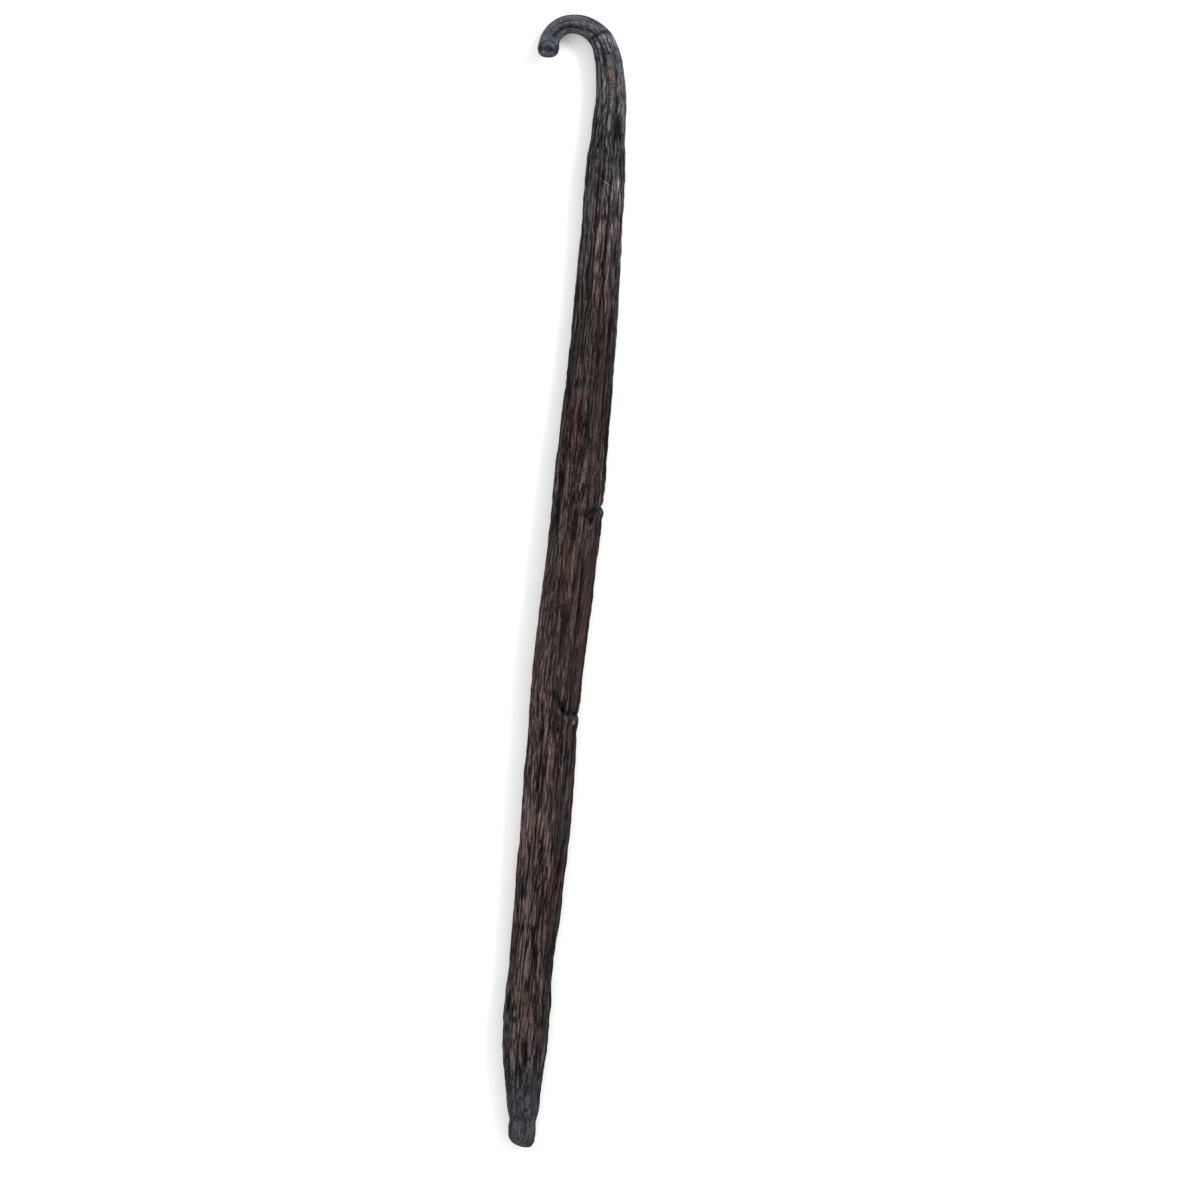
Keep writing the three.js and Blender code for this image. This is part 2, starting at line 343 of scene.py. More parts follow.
def crease_depth():
    """Each crease is a sharp valley that wavers, with a low ridge on the blossom side."""
    depth = np.zeros_like(along)
    for at, around, reach_degrees, deep, width, slant in CREASES:
        turn = turn_between(np.radians(around), angle)
        waver = deep * (0.5 * np.sin(9 * angle + at) + 0.3 * np.sin(17 * angle + 2 * at))
        off = (along / MM - at - slant * turn - waver) / width
        fade = np.exp(-((turn / np.radians(reach_degrees)) ** 4))
        valley = np.exp(-np.abs(off) * 2) - 0.35 * np.exp(-((off - 1.6) ** 2))
        depth += deep * MM * fade * valley
    return depth


furrows = furrow_depth()
creases = crease_depth()
print(f"deepest furrow {furrows.max() / MM:.2f} mm, deepest crease {creases.max() / MM:.2f} mm")


# %% [markdown]
# ## Folds
# Shallow folds go all round the pod. Listing them one by one would take long, so three waves run
# round it side by side and drift slowly along it. The absolute value of their sum is rounded on
# top and sharp where the sum crosses zero, which is how skin folds that has shrunk.

# %% Folds
FOLD_WAVES = (  # waves round the pod, phase, mm for a drift of one radian, strength
    (5, 0.8, 26, 1), (7, -1.3, -33, 1), (8, 2.1, 19, 0.8),
)


def wave_round(count, phase, drift):
    return np.cos(count * angle + phase + along / (drift * MM))


folds = sum(strength * wave_round(*wave) for *wave, strength in FOLD_WAVES)
folds = np.abs(folds) / sum(strength for *_, strength in FOLD_WAVES)
print("mean fold height:", folds.mean().round(2))


# %% [markdown]
# ## Noise round the pod
# Finer wrinkles can't be waves, because the eye would find the beat in them. They come from a
# noise that is read on a circle, so that it closes round the pod, and stretched along it. It is
# fixed, so the pod looks the same each time.

# %% Noise round the pod
NOISE_PLACE = Vector((11.3, 4.7, 2.9))  # where in the noise the pod lies
LONG_WRINKLES = (118 * MM, 158 * MM)  # wrinkles run on for longer between these
LONG_WRINKLE_STRETCH = 0.35  # share of the way that the noise stays behind there


def noise_round(cell, run, shift, turned=0):
    """Noise with cells of that size across and along, in metres. The shift picks another one."""
    x = np.cos(angle + turned) * radius / cell + NOISE_PLACE.x + shift
    y = np.sin(angle + turned) * radius / cell + NOISE_PLACE.y
    stretch = np.clip(along, *LONG_WRINKLES) - LONG_WRINKLES[0]
    z = (along - LONG_WRINKLE_STRETCH * stretch) / run + NOISE_PLACE.z
    return np.array([noise.noise(place) for place in np.stack((x, y, z), 1).tolist()])


def crested(value):
    """0 in a groove where the noise crosses zero, about 1 on the crests between grooves."""
    return np.minimum(np.abs(value) / 0.5, 1) ** 0.65


grain = noise_round(0.36 * MM, 0.7 * MM, 80)
knobs = noise_round(0.9 * MM, 1.3 * MM, 70)
print("grain and knobs:", grain.std().round(2), knobs.std().round(2))


# %% [markdown]
# ## Fine wrinkles
# Between the furrows the skin has some thirty fine wrinkles round the pod, nearly parallel, that
# join and part again, and finer threads among them. A bump in the material would only shade them
# and would leave the outline smooth, so they are real depth in the mesh. Round a deep crease they
# wander more. A few strips stayed calm, with next to no wrinkles, and so did both ends.

# %% Wrinkles
CALM_STRIPS = (  # from and to in mm, angle at the start and at the end, half width, all degrees
    (13, 24, 96, 90, 15), (84, 118, 142, 155, 13), (60, 84, 118, 124, 8),
)
CALMNESS = 0.8  # share of the wrinkles that a calm strip lacks
LIVELINESS = (  # distance in mm and how strongly the skin is wrinkled there
    (0, 0.1), (4, 0.2), (10, 0.5), (20, 1.1), (60, 1), (84, 0.95), (92, 0.66), (107, 0.68),
    (118, 1), (162, 0.95), (168, 0.6), (174, 0.34), (179, 0.15),
)
KNOTS = (82, 113.7)  # places of the two deep creases, in mm
KNOT_REACH = 5  # in mm
BLOSSOM_KNOTTED = 0.3  # how knotted the skin is towards the blossom end


def calm_share():
    """CALMNESS in the middle of a calm strip and 0 outside the strips."""
    calm = np.zeros_like(along)
    for low, high, start, end, half in CALM_STRIPS:
        way = (along / MM - low) / (high - low)
        middle = np.radians(start + (end - start) * way)
        off = np.abs(turn_between(middle, angle)) / np.radians(half)
        fade = smoothstep(way, 0, 0.2) * (1 - smoothstep(way, 0.8, 1))
        calm = np.maximum(calm, CALMNESS * fade * (1 - smoothstep(off, 0.6, 1.3)))
    return calm


def knotted_share():
    """1 at the two deep creases, a little towards the blossom end, next to 0 elsewhere."""
    knots = sum(np.exp(-(((along / MM - at) / KNOT_REACH) ** 2)) for at in KNOTS)
    return np.minimum(knots + BLOSSOM_KNOTTED * smoothstep(along / MM, 125, 155), 1)


lively = profile(LIVELINESS, along) * (1 - calm_share())
knotted = knotted_share()
wander = 0.07 * noise_round(2.1 * MM, 16 * MM, 20)
wander += (0.01 + 0.05 * knotted) * noise_round(1.0 * MM, 2.6 * MM, 30)
wrinkles = crested(noise_round(0.42 * MM, 12 * MM, 40, wander))
threads = crested(noise_round(0.25 * MM, 5 * MM, 60, wander))
print("means:", [round(float(n.mean()), 2) for n in (wrinkles, threads, lively)])


# %% [markdown]
# ## The relief
# Folds, furrows, creases and wrinkles add up to one height for each vertex. The section is a
# flattened ellipse with fuller corners. The blossom end is cut at a slant, so its vertices slide
# along the pod by as much as they lie to one side.

# %% Relief
FOLD_DEPTH = 0.35 * MM
LOBE_DEPTH = 0.1 * MM  # the pod has three sides, which hardly show once it is flat
LOBES = (3, 1.1, 45)  # waves round the pod, phase, mm for a drift of one radian
WRINKLE_DEPTH = 0.24 * MM
THREAD_DEPTH = 0.16 * MM
KNOB_DEPTH = 0.12 * MM
GRAIN_DEPTH = 0.04 * MM
MEAN_FOLD = 0.33
FLATTENING = 2.3  # section exponent: 2 is an ellipse, more is boxier
SWAY = 0.1 * MM  # sideways wander of the outline, in two waves
BLOSSOM_SLANT = 0.18


def squared(value):
    """Sine or cosine drawn out towards the corners of a flattened section."""
    return np.sign(value) * np.abs(value) ** (2 / FLATTENING)


near_scar = 1 - smoothstep(along / MM, 1, 8)
fine = WRINKLE_DEPTH * (wrinkles - 0.5) + THREAD_DEPTH * (threads - 0.5)
fine = (fine + KNOB_DEPTH * knobs) * lively + GRAIN_DEPTH * grain * (1 + knotted + near_scar)
folding = FOLD_DEPTH * (1 - 0.8 * near_scar) * (folds - MEAN_FOLD)
lobes = LOBE_DEPTH * wave_round(*LOBES)
relief = plump * (folding + lobes + fine) - furrows - creases
across = share * (half_width(along) * squared(np.cos(angle)) + relief * np.cos(angle))
above = share * (half_height(along) * squared(np.sin(angle)) + relief * np.sin(angle))
sway = SWAY * plump * (np.sin(along / (5.3 * MM)) + np.sin(along / (8.9 * MM) + 1)) / 2
slide = BLOSSOM_SLANT * smoothstep(along / MM, 175, 180) * across
write_vertices(pod.data, np.stack((across + sway, along - slide, above), 1))
print(f"relief from {relief.min() / MM:.2f} to {relief.max() / MM:.2f} mm")


# %% [markdown]
# ## How light the skin is
# The shade of a real pod changes along it: it dried unevenly, and where it was handled it is
# rubbed lighter. Painting would need an image, so a few stations along the pod say how light the
# skin is, in stops, as for a camera: one stop more is twice as light. The dip round 66 mm is
# painted shadow. Towards its sides the skin is painted lighter or darker, and darker still along
# its outermost edge, as painted light and shade.

# %% Shades
# tone along the pod; the dip round 66 mm is painted shadow
SHADES = (  # distance in mm and lightness of the skin there, in stops
    (0, 0.28), (12, 0.38), (17, 0.45), (22.5, 0.7), (26.5, -0.02), (31.5, -0.12), (37, 0.8),
    (46, 0.85), (66, -0.35), (80, 0.15), (90, -0.1), (104, 0.3), (120, 0.35), (134, 0.48),
    (145, 0.36), (152, 0.15), (160, 0.27), (168, 0.28), (175, -0.33), (180, -0.25),
)
# painted light and shade on the two sides of the pod
SIDE_SHADES = (  # distance in mm and how much lighter each side is: inside and outside the crook
    (10, 0, 0), (16, -0.8, -0.4), (22, -0.8, 0.5), (25.5, -0.65, 0.6), (29.5, -0.55, -1.1),
    (33.5, -0.9, -0.1), (37, -1.1, -0.6), (46, -1.1, -0.6), (70, -0.3, -0.4), (90, 0.8, -0.7),
    (110, 0.7, -0.8), (118, 0, -2), (150, 0.1, -2.2), (158, 0, -1.4), (172, -0.1, -1.4),
    (178, 0, 0),
)
SPECKLES = (  # distance in mm and how strongly the skin is speckled there, in stops
    (0, 5), (30, 4.5), (66, 4.4), (76, 6.5), (84, 6), (94, 4.4), (108, 4.4), (125, 3.5),
    (165, 4), (176, 5), (180, 5.5),
)
RIM_SHADE = 1.1  # painted shade: how much darker the outermost edge is, in stops


def side_shade():
    """Painted light and shade: how much lighter or darker the skin's sides are than its middle."""
    inside = profile([(at, value) for at, value, _ in SIDE_SHADES], along)
    outside = profile([(at, value) for at, _, value in SIDE_SHADES], along)
    aside = np.abs(np.cos(angle))
    side = np.where(np.cos(angle) > 0, inside, outside) * aside ** 1.5
    return side - RIM_SHADE * smoothstep(aside, 0.85, 1)


# tone along the pod, with painted shadow and painted light and shade on the sides
shade = profile(SHADES, along) + side_shade()
speckle = profile(SPECKLES, along)
print("shade from", shade.min().round(2), "to", shade.max().round(2), "stops")


# %% [markdown]
# ## How deep in a groove
# Grooves in the skin look nearly black. The lamps alone would leave such shallow ones too pale,
# so shade is painted into them, and the material has to know how deep in a furrow or a crease the
# skin lies. The scar of the cut stalk has dark and light rings of its own, which are added to the
# same number: more of it is darker.

# %% Hollows
HOLLOW_DEPTH = 0.4 * MM  # a furrow this deep counts as 1
CREASE_DARKNESS = 1.7  # painted shade: a crease is darker than a furrow of the same depth
DARKEST_HOLLOW = 1.8
SCAR_LENGTH = 0.5 * MM  # the scar's rings are no further along the pod than this
SCAR_RINGS = (  # share of the full section, width, darkness and sharpness
    (0, 0.18, -0.15, 4), (0.78, 0.05, 0.2, 2), (0.55, 0.12, -0.25, 2),
)


def scar_rings():
    """How much darker each ring of the scar is, and 0 on the rest of the pod."""
    total = sum(
        dark * np.exp(-(((share - middle) / width) ** sharpness))
        for middle, width, dark, sharpness in SCAR_RINGS
    )
    return total * (along < SCAR_LENGTH)


# painted shade in furrows and creases, and the scar's own rings
hollow = (furrows + CREASE_DARKNESS * creases) / HOLLOW_DEPTH
hollow = np.clip(hollow, 0, DARKEST_HOLLOW) + scar_rings()
print("hollow from", hollow.min().round(2), "to", hollow.max().round(2))


# %% [markdown]
# ## What the mesh remembers
# Once the pod is bent, its own coordinates no longer run along it. So the straight place of each
# vertex is stored as an attribute, with its wrinkles, its hollow, its shade and its speckles, and
# the material reads them from there.

# %% Attributes
def keep_number(mesh, name, values):
    layer = mesh.attributes.new(name, "FLOAT", "POINT")
    layer.data.foreach_set("value", values.astype(np.float32))


def keep_vector(mesh, name, values):
    layer = mesh.attributes.new(name, "FLOAT_VECTOR", "POINT")
    layer.data.foreach_set("vector", values.astype(np.float32).ravel())


round_pod = np.stack((share * radius * np.cos(angle), along, share * radius * np.sin(angle)), 1)
keep_vector(pod.data, "straight", round_pod / MM)
keep_number(pod.data, "wrinkle", wrinkles)
keep_number(pod.data, "thread", threads)
keep_number(pod.data, "hollow", hollow)
keep_number(pod.data, "shade", shade)
keep_number(pod.data, "lively", lively)
keep_number(pod.data, "speckle", speckle)
print("attributes:", [layer.name for layer in pod.data.attributes])


# %% [markdown]
# ## A flat map of the skin
# Peeled off and unrolled, the skin would be a long strip. The UV map is that strip, with the
# angle across and the length upwards, and its seam runs along the underside, where it is hidden.
# A face that lies over the seam is moved to one side of it, or it would span the whole strip.

# %% UV map
def lay_out_uv(mesh):
    """Angle across, from the underside round, and length upwards, in shares of the whole."""
    turns = (np.degrees(angle) + 90) % 360 / 360
    corner_vertex = np.zeros(len(mesh.loops), int)
    mesh.loops.foreach_get("vertex_index", corner_vertex)
    u = turns[corner_vertex].reshape(-1, 4)
    wraps = (u.max(1) - u.min(1) > 0.5)[:, None]
    u = np.where(wraps & (u < 0.5), u + 1, u)
    v = (along / LENGTH)[corner_vertex]
    layer = mesh.uv_layers.new(name="skin")
    layer.data.foreach_set("uv", np.stack((u.ravel(), v), 1).astype(np.float32).ravel())


lay_out_uv(pod.data)
print("uv map:", pod.data.uv_layers[0].name)


# %% [markdown]
# ## Bending
# The straight pod could be turned ring by ring, but a Curve modifier bends it along the spine in
# one go, as a hand would bend it. The curve carries the height over the table too. Afterwards the
# modifier is applied, the curve is deleted, and what would be under the table is pressed flat
# against it.

# %% Bend
def spine_curve():
    """A curve along the spine, at its height over the table."""
    distances = np.arange(len(spine)) * SPINE_STEP
    level = spine[round(STEM_CURL_LENGTH / SPINE_STEP), 2]
    heights = spine[:, 2] - level + spine_height(distances)
    data = bpy.data.curves.new("spine", "CURVE")
    data.dimensions = "3D"
    data.twist_mode = "Z_UP"
    line = data.splines.new("POLY")
    line.points.add(len(spine) - 1)
    for point, place, height in zip(line.points, spine, heights):
        point.co = (place[0], place[1], height, 1)
        point.tilt = math.radians(90)  # turns the section's +X to the right of the way
    curve = bpy.data.objects.new("spine", data)
    bpy.context.scene.collection.objects.link(curve)
    return curve


def bend(piece, curve):
    """Bends the piece along the curve and deletes the curve."""
    bpy.ops.object.select_all(action="DESELECT")
    bpy.context.view_layer.objects.active = piece
    piece.select_set(True)
    modifier = piece.modifiers.new("Bend", "CURVE")
    modifier.object = curve
    modifier.deform_axis = "POS_Y"
    bpy.ops.object.modifier_apply(modifier=modifier.name)
    bpy.data.objects.remove(curve)


bend(pod, spine_curve())
co = read_vertices(pod.data)
low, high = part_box("pod")
middle = (co.min(0) + co.max(0)) / 2
co[:, :2] += np.array((low + high) / 2)[:2] - middle[:2]
co[:, 2] = np.maximum(co[:, 2], 0)
write_vertices(pod.data, co)
bpy.ops.object.shade_smooth()
print("bent pod:", (co.min(0) / MM).round(2), (co.max(0) / MM).round(2))


# %% [markdown]
# ## A short way to write shader maths
# Node trees are quick to draw by hand and slow to read in code. This class wraps a socket so that
# Python's own operators add the Math nodes. Everything else goes through one method that takes
# the node's type, its settings and its inputs.

# %% Shader maths
class Wire:
    """An output socket that can be calculated with."""

    def __init__(self, tree, socket):
        self.tree = tree
        self.socket = socket

    def __add__(self, other):
        return self.tree.math("ADD", self, other)

    def __radd__(self, other):
        return self.tree.math("ADD", other, self)

    def __sub__(self, other):
        return self.tree.math("SUBTRACT", self, other)

    def __rsub__(self, other):
        return self.tree.math("SUBTRACT", other, self)

    def __mul__(self, other):
        return self.tree.math("MULTIPLY", self, other)

    def __rmul__(self, other):
        return self.tree.math("MULTIPLY", other, self)

    def __truediv__(self, other):
        return self.tree.math("DIVIDE", self, other)

    def __rpow__(self, other):
        return self.tree.math("POWER", other, self)

    def __abs__(self):
        return self.tree.math("ABSOLUTE", self)


class Tree:
    """The nodes of one material."""

    def __init__(self, name):
        self.material = bpy.data.materials.new(name)
        self.material.use_nodes = True
        self.nodes = self.material.node_tree.nodes
        self.links = self.material.node_tree.links
        self.nodes.clear()

    def add(self, kind, settings=None, inputs=None, output=0):
        node = self.nodes.new(kind)
        for name, value in (settings or {}).items():
            setattr(node, name, value)
        for name, value in (inputs or {}).items():
            if isinstance(value, Wire):
                self.links.new(value.socket, node.inputs[name])
            else:
                node.inputs[name].default_value = value
        return Wire(self, node.outputs[output])

    def math(self, operation, first, second=0):
        return self.add("ShaderNodeMath", {"operation": operation}, {0: first, 1: second})

    def vector(self, operation, first, second):
        return self.add("ShaderNodeVectorMath", {"operation": operation}, {0: first, 1: second})

    def attribute(self, name, output="Fac"):
        return self.add("ShaderNodeAttribute", {"attribute_name": name}, output=output)

    def axis(self, place, name):
        return self.add("ShaderNodeSeparateXYZ", {}, {0: place}, output=name)

    def noise(self, place, cells, detail=2, roughness=0.5, output="Fac"):
        """Noise from 0 to 1 with that many cells to a millimetre across, along and upwards."""
        values = {"Vector": self.vector("MULTIPLY", place, cells), "Scale": 1}
        values.update({"Detail": detail, "Roughness": roughness})
        return self.add("ShaderNodeTexNoise", {"noise_dimensions": "3D"}, values, output)

    def step(self, value, low, high):
        """0 under low, 1 over high, smooth between them."""
        settings = {"interpolation_type": "SMOOTHSTEP", "clamp": True}
        values = {"Value": value, "From Min": low, "From Max": high}
        return self.add("ShaderNodeMapRange", settings, values)

    def mix(self, amount, first, second, blend="MIX"):
        settings = {"data_type": "RGBA", "blend_type": blend, "clamp_factor": True}
        return self.add("ShaderNodeMix", settings, {0: amount, 6: first, 7: second}, output=2)

    def finish(self, values):
        shader = self.add("ShaderNodeBsdfPrincipled", {}, values)
        out = self.nodes.new("ShaderNodeOutputMaterial")
        self.links.new(shader.socket, out.inputs["Surface"])
        return self.material


def srgb(red, green, blue):
    """A colour given as 0 to 255 in the usual screen values, made linear for the shader."""
    shares = [value / 255 for value in (red, green, blue)]
    linear = [v / 12.92 if v <= 0.04045 else ((v + 0.055) / 1.055) ** 2.4 for v in shares]
    return (*linear, 1)


print("black brown:", [round(v, 4) for v in srgb(30, 22, 20)])


# %% [markdown]
# ## The colours of cured skin
# A cured pod is dark brown, but not evenly. Some strips are more olive and some patches redder,
# and both ends dried first and are blue-grey. Two wide noises give the strips and the patches.
# The patches also make the borders of the grey ends uneven. At both ends the grey reaches
# further along the sides than along the top.

# %% Skin colours
MID_BROWN = srgb(45, 32, 30)
OLIVE_BROWN = srgb(45, 37, 33)
RED_BROWN = srgb(58, 34, 30)
STEM_GREY = srgb(54, 57, 62)
BLOSSOM_GREY = srgb(42, 45, 49)
STEM_FADE = (4, 56)  # mm over which the stem end's grey fades into brown
BLOSSOM_FADE = (163, 177)  # mm over which brown fades into the blossom end's grey
STEM_SIDE_REACH = 12  # mm that the stem end's grey reaches further along the sides
BLOSSOM_SIDE_REACH = 6
BORDER_WANDER = 14  # mm that the border of a grey end wanders by


def skin_tones(tree, straight, s, turn):
    """The colour before it is made lighter and darker, with the grey ends."""
    patches = tree.noise(straight, (0.3, 0.07, 0.3), detail=3)
    strips = tree.noise(straight, (1.3, 0.06, 1.3), detail=2)
    flank = tree.step(abs(tree.math("COSINE", turn)), 0.5, 1)
    # fewer olive strips below the second deep crease and more towards the blossom end
    olive = strips + 0.01 - 0.07 * tree.step(s, 108, 118) + 0.2 * tree.step(s, 145, 158)
    color = tree.mix(tree.step(olive, 0.46, 0.56), MID_BROWN, OLIVE_BROWN)
    color = tree.mix(0.5 * tree.step(patches, 0.52, 0.7), color, RED_BROWN)
    border = s + BORDER_WANDER * (patches - 0.5)
    stem_border = border - STEM_SIDE_REACH * flank
    color = tree.mix(1 - tree.step(stem_border, *STEM_FADE), color, STEM_GREY)
    blossom_border = border + BLOSSOM_SIDE_REACH * flank * flank
    return tree.mix(tree.step(blossom_border, *BLOSSOM_FADE), color, BLOSSOM_GREY)


for skin_color in (MID_BROWN, OLIVE_BROWN, RED_BROWN, STEM_GREY, BLOSSOM_GREY):
    print("skin colour:", [round(v, 4) for v in skin_color[:3]])


# %% [markdown]
# ## Marks and painted shading
# A real pod has small marks of its own: reddish flecks, pale patches and one thin yellow fibre.
# Other marks are painted light and shade: dark lines and pits in its creases and grooves are
# painted shade, and pale spots on a knob and along an edge are painted highlights. They could be
# painted in an image, but the material can do without one: each is an oval patch of its own
# colour, laid over the skin where it belongs. A mark can lean. Its drift is how far it moves
# sideways for each millimetre along the pod.

# %% Marks
MARKS_AND_PAINTED_SHADING = (  # place in mm, angle, half length, half width, drift in mm a mm, strength, colour
    # the pale stretch at the neck, and the ring crease and its pits, darkened with painted shade
    (19.5, 93, 3.8, 0.55, 0, 0.6, (54, 51, 55)),
    (13.0, 104, 1.5, 2.4, 0.3, 0.75, (69, 72, 78)),
    (11.4, 102, 0.5, 1.1, 4.5, 0.85, (22, 22, 26)),
    (13.1, 98, 0.16, 0.22, 0, 0.8, (18, 18, 20)),
    (13.2, 116, 0.14, 0.26, 0, 0.8, (18, 18, 20)),
    (14.6, 92, 0.3, 0.5, 0, 0.7, (18, 18, 20)),
    (14.8, 124, 0.2, 0.5, 0, 0.6, (18, 18, 20)),
    # dark patches and a pale one where the neck widens
    (28.0, 124, 2.4, 0.3, 0.4, 0.7, (15, 13, 15)),
    (29.8, 138, 1.6, 1.0, 0, 0.8, (14, 12, 13)),
    (30.5, 94, 1.3, 1.1, 0, 0.7, (32, 19, 20)),
    (35.0, 131, 2.6, 0.9, 0, 0.5, (100, 98, 104)),
    # painted shade in the first deep crease and its pit, painted highlights on the knob by it
    (82.0, 113, 2.8, 0.22, 0, 0.85, (13, 10, 10)),
    (85.4, 129, 0.5, 0.6, 0, 0.9, (10, 7, 7)),
    (84.8, 108, 0.35, 1.0, 0, 0.7, (14, 11, 11)),
    (83.2, 131, 1.3, 0.75, 0, 0.5, (70, 60, 64)),
    (86.6, 131, 0.5, 0.35, 0, 0.5, (84, 76, 80)),
    # painted shade in the second deep crease, which runs down in steps, and a chip under it
    (112.6, 92, 1.3, 0.42, 0, 0.95, (9, 6, 6)),
    (114.0, 102, 0.85, 0.7, 0.5, 0.95, (9, 6, 6)),
    (114.9, 120, 0.6, 1.1, 0, 0.95, (9, 6, 6)),
    (115.2, 146, 0.5, 1.2, 0, 0.95, (9, 6, 6)),
    (116.3, 144, 0.4, 0.35, 0, 0.35, (150, 138, 126)),
    # painted shade in small pits, and a painted highlight along the outer edge
    (137.6, 99, 1.0, 0.3, 0, 0.85, (14, 15, 16)),
    (137.5, 124, 0.8, 0.32, 0, 0.75, (15, 15, 17)),
    (136.8, 67, 0.6, 0.25, 0, 0.5, (20, 20, 21)),
    (140.5, 160, 2.2, 0.4, 0, 0.6, (96, 102, 112)),
    # painted shade in long grooves towards the blossom end
    (167.2, 93, 3.6, 0.2, 0, 0.95, (9, 8, 9)),
    (168.9, 71, 5.4, 0.24, -0.07, 0.95, (9, 8, 9)),
    (170.7, 81, 2.2, 0.22, 0, 0.95, (9, 8, 9)),
    (168.6, 122, 4.2, 0.24, 0, 0.95, (9, 8, 9)),
    (167.5, 42, 2.2, 0.24, 0, 0.8, (12, 11, 14)),
    (172.5, 39, 0.9, 0.2, 0, 0.8, (12, 11, 14)),
    # reddish flecks on the neck, the yellow fibre, the inside of the crook and the blossom end
    (18.5, 98, 1.3, 0.4, 0, 0.3, (76, 56, 52)),
    (17.7, 87, 0.6, 0.16, 0, 0.8, (132, 76, 58)),
    (19.2, 68, 0.28, 0.13, 0, 0.6, (100, 72, 68)),
    (34.0, 88, 1.35, 0.12, 1.31, 0.6, (130, 110, 62)),
    (5.6, 84, 1.5, 0.45, -0.3, 0.6, (44, 37, 42)),
    (5.2, 86, 1.0, 0.1, -0.58, 0.4, (96, 72, 76)),
    (180.3, 80, 0.14, 0.75, 0, 0.7, (92, 52, 46)),
)


def add_marks_and_painted_shading(tree, color, s, turn):
    """Small marks and spots of painted shade and highlight: each an oval patch of its own colour.
    """
    for at, degrees, half_length, half_across, drift, strength, mark_color in MARKS_AND_PAINTED_SHADING:
        up = s - at
        aside = (turn - math.radians(degrees)) * (half_width(at * MM) / MM) - drift * up
        long_way, short_way = up / half_length, aside / half_across
        oval = long_way * long_way + short_way * short_way
        color = tree.mix(strength * (1 - tree.step(oval, 0.3, 1)), color, srgb(*mark_color))
    return color


print("marks:", len(MARKS_AND_PAINTED_SHADING))


# %% [markdown]
# ## Hairlines
# Between wrinkles the skin is drawn into grooves as thin as a hair. They are finer than the
# mesh, so they are made in the material alone, as dark lines of painted shade and a bump. A noise
# passes through its middle value along winding lines, and how far it is from that value is how
# far the skin is from a line. Short lines suit the stem end, long ones the lower body.

# %% Hairlines
LOWER_BODY = (110, 135)  # mm over which the upper body changes into the lower body
HAIRLINE_THICKNESS = (0.75, 0.5)  # on the upper body and on the lower body


def down_the_body(lower, pair):
    """The pair's first number on the upper body and its second on the lower body."""
    return pair[0] + (pair[1] - pair[0]) * lower


def off_line(tree, place, across, lengthwise):
    """Noise that is 0 on thin winding lines, by cells to a millimetre across and lengthwise."""
    return abs(tree.noise(place, (across, lengthwise, across), detail=1) - 0.5)


def hairlines(tree, place, s, lower):
    """1 on the thin dark lines and 0 between them."""
    wide_apart = off_line(tree, place, 1.3, 0.07)
    body_lines = off_line(tree, place, 2.4, 0.2)
    stem_lines = off_line(tree, place, 2.2, 0.65)
    lower_lines = off_line(tree, place, 2.3, 0.14)
    close = stem_lines + tree.step(s, 10, 26) * (body_lines - stem_lines)
    close = close + lower * (1 - tree.step(s, 150, 162)) * (lower_lines - close)
    thickness = down_the_body(lower, HAIRLINE_THICKNESS)
    wide_gaps = tree.step(wide_apart / thickness, 0.02, 0.1)
    return 1 - wide_gaps * tree.step(close / thickness, 0.03, 0.16)


print("hairline thickness half way down the change:", down_the_body(0.5, HAIRLINE_THICKNESS))


# %% [markdown]
# ## The cured skin
# Crests are painted lighter, as painted highlight, grooves nearly black, as painted shade, and the
# lightest places greyer, as painted sheen. All that makes the skin lighter or darker is added up
# in stops and turned into one factor for the colour at the end, so that dark places keep their
# hue. The oil in the skin gives it a faint sheen that breaks up along the wrinkles. All the
# patterns are read from the straight place, so they run round the crook with the skin.

# %% Skin material
SHEEN_GREY = srgb(42, 38, 38)  # painted sheen: the lightest skin turns greyer, as under a highlight
BASE_STOPS = 0.7  # makes the whole skin lighter
HOLLOW_STOPS = 1.4  # painted shade: how much darker a hollow of 1 is
STREAK_STOPS = 0.4
# painted shade and highlight: grooves of threads and wrinkles darker, crests lighter, hairlines
# darker; the fibres are the skin's own grain
THREAD_STOPS = 1.1
FIBRE_STOPS = (4.2, 4.8)  # this pair and the next two: on the upper and on the lower body
WRINKLE_STOPS = (1.35, 0.9)
HAIRLINE_STOPS = (2.6, 3.2)
CALM_ROUGHNESS = 0.3  # share of the threads, fibres, wrinkles and hairlines that calm skin keeps
CONTRAST = 1.15  # of all the patterns together
BUMP_HEIGHT = 0.1 * MM


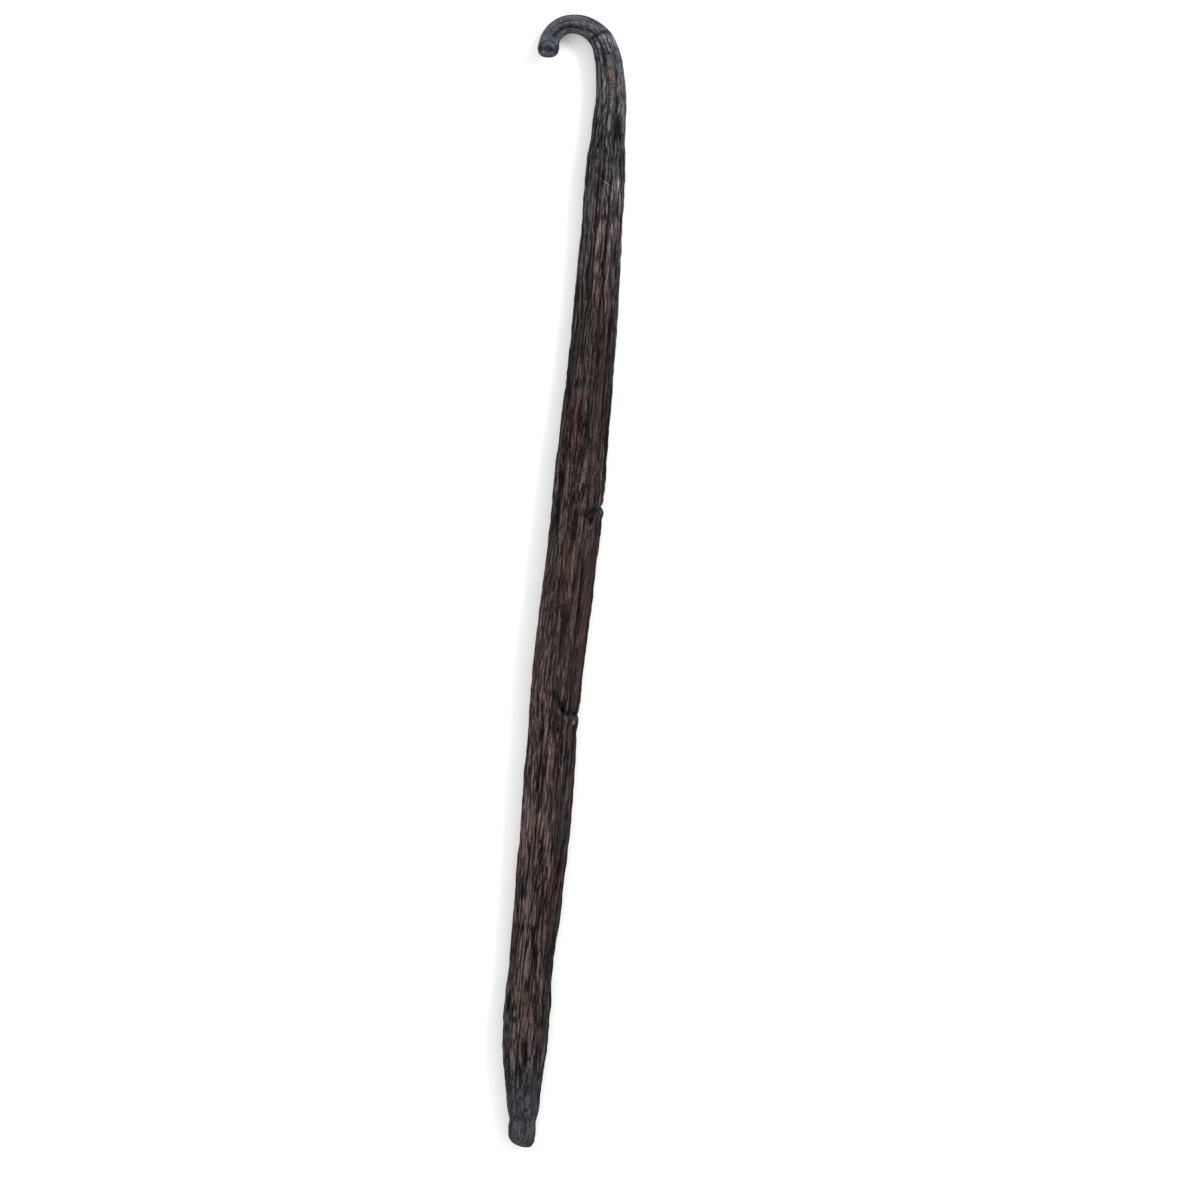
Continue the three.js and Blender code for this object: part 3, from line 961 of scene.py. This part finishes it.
def skin_material():
    tree = Tree("pod_skin")
    straight = tree.attribute("straight", "Vector")
    s = tree.axis(straight, "Y")
    turn = tree.math("ARCTAN2", tree.axis(straight, "Z"), tree.axis(straight, "X"))
    wander = tree.noise(straight, (0.5, 0.1, 0.5), output="Color")
    wander = tree.vector("SUBTRACT", wander, (0.5, 0.5, 0.5))
    place = tree.vector("ADD", straight, tree.vector("MULTIPLY", wander, (1, 0, 1)))
    lower = tree.step(s, *LOWER_BODY)

    streaks = tree.noise(place, (1.6, 0.08, 1.6), detail=3, roughness=0.65)
    fibres = tree.noise(place, (4.5, 0.6, 4.5), detail=2, roughness=0.6)
    specks = tree.noise(straight, (5, 3.8, 5), detail=2)
    lines = hairlines(tree, place, s, lower)
    wrinkle = tree.attribute("wrinkle")
    lively = tree.attribute("lively")

    # about its mean is taken off each pattern, so that it leaves the skin's mean shade alone
    grain_and_groove_shading = down_the_body(lower, FIBRE_STOPS) * (fibres - 0.5)
    # painted highlight and shade on wrinkle and thread crests and grooves, painted shade in
    # hairlines
    grain_and_groove_shading = grain_and_groove_shading + down_the_body(lower, WRINKLE_STOPS) * (wrinkle - 0.6)
    grain_and_groove_shading = grain_and_groove_shading - down_the_body(lower, HAIRLINE_STOPS) * (lines - 0.25)
    grain_and_groove_shading = grain_and_groove_shading + THREAD_STOPS * (tree.attribute("thread") - 0.5)
    uneven = STREAK_STOPS * (streaks - 0.5) + tree.attribute("speckle") * (specks - 0.5)
    uneven = uneven + (CALM_ROUGHNESS + (1 - CALM_ROUGHNESS) * lively) * grain_and_groove_shading
    uneven = CONTRAST * tree.math("MINIMUM", uneven, 0.5 * uneven + 0.1)  # crests stand out less
    # painted shade in furrows and creases, with the scar's own rings
    groove_shade_and_scar_stops = HOLLOW_STOPS * tree.attribute("hollow")
    stops = tree.attribute("shade") + BASE_STOPS + uneven - groove_shade_and_scar_stops
    tone = 2 ** stops
    shade = tree.add("ShaderNodeCombineXYZ", {}, {0: tone, 1: tone, 2: tone})

    color = skin_tones(tree, straight, s, turn)
    # painted sheen: the lightest places are mixed towards grey
    color = tree.mix(0.45 * tree.step(stops, 0.2, 1.6), color, SHEEN_GREY)
    color = add_marks_and_painted_shading(tree, color, s, turn)
    color = tree.mix(1, color, shade, "MULTIPLY")

    roughness = 0.55 + 0.3 * (1 - wrinkle) + 0.4 * (fibres - 0.5)
    sheen = tree.step(fibres + 0.5 * wrinkle, 0.65, 1.05) * (0.4 * lively)
    height = fibres + 0.6 * specks - 0.4 * lines
    bump_values = {"Strength": 0.5, "Distance": BUMP_HEIGHT, "Height": height}
    bump = tree.add("ShaderNodeBump", {}, bump_values)
    return tree.finish({
        "Base Color": color, "Roughness": roughness, "Normal": bump, "Specular IOR Level": 0.06,
        "Coat Weight": sheen, "Coat Roughness": 0.45,
    })


pod.data.materials.clear()
pod.data.materials.append(skin_material())
print("skin material:", pod.data.materials[0].name)


# %% [markdown]
# ## The table
# A plain white table, wide enough that its edge never shows. It isn't part of the pod.

# %% Table
TABLE_SIZE = 3.0
PAPER_WHITE = (0.93, 0.93, 0.93, 1)
bpy.ops.object.select_all(action="DESELECT")
bpy.ops.mesh.primitive_plane_add(size=TABLE_SIZE, location=(0, 0, 0))
table = bpy.context.active_object
table.name = "table"
paper = Tree("white_paper")
table.data.materials.append(paper.finish({"Base Color": PAPER_WHITE, "Roughness": 0.9}))
print("table:", table.dimensions[:])


# %% [markdown]
# ## Light
# The pod lies in a light tent: white all round, so that shadows are faint and soft, and grooves
# are dark because they see less of the white. A small soft box to the right, a little behind,
# casts the shadow and gives the skin its sheen, and a large one to the left keeps the shadow
# pale. Both are aimed at the middle of the pod.

# %% Light
TENT_STRENGTH = 0.91


def soft_box(name, place, size, power):
    light = bpy.data.lights.new(name, "AREA")
    light.shape = "DISK"
    light.size = size
    light.energy = power
    box = bpy.data.objects.new(name, light)
    box.location = place
    box.rotation_euler = (-Vector(place)).to_track_quat("-Z", "Y").to_euler()
    bpy.context.scene.collection.objects.link(box)


soft_box("key", place=(0.71, 0.56, 0.62), size=0.5, power=11.2)
soft_box("fill", place=(-0.6, -0.3, 0.9), size=0.7, power=4.2)

world = bpy.data.worlds.new("studio")
bpy.context.scene.world = world
world.use_nodes = True
background = world.node_tree.nodes["Background"]
background.inputs["Color"].default_value = (1, 1, 1, 1)
background.inputs["Strength"].default_value = TENT_STRENGTH
bpy.context.scene.view_settings.view_transform = "Standard"


# %% [markdown]
# ## Camera
# The camera looks straight down from a metre away through a long lens, so the pod is seen almost
# without perspective. The middle of its view lies a little to the right of the pod.

# %% Camera
VIEW_WIDTH = 183 * MM
VIEW_MIDDLE = (5.41 * MM, -2.9 * MM)
CAMERA_HEIGHT = 1.0
SENSOR_WIDTH = 36
lens = bpy.data.cameras.new("camera")
lens.sensor_width = SENSOR_WIDTH
lens.lens = SENSOR_WIDTH * CAMERA_HEIGHT / VIEW_WIDTH
camera = bpy.data.objects.new("camera", lens)
camera.location = (*VIEW_MIDDLE, CAMERA_HEIGHT)
bpy.context.scene.collection.objects.link(camera)
bpy.context.scene.camera = camera
print(f"lens: {lens.lens:.0f} mm")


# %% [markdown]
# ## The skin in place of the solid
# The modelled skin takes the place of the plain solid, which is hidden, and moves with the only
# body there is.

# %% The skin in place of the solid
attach(pod, "root")
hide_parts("pod")
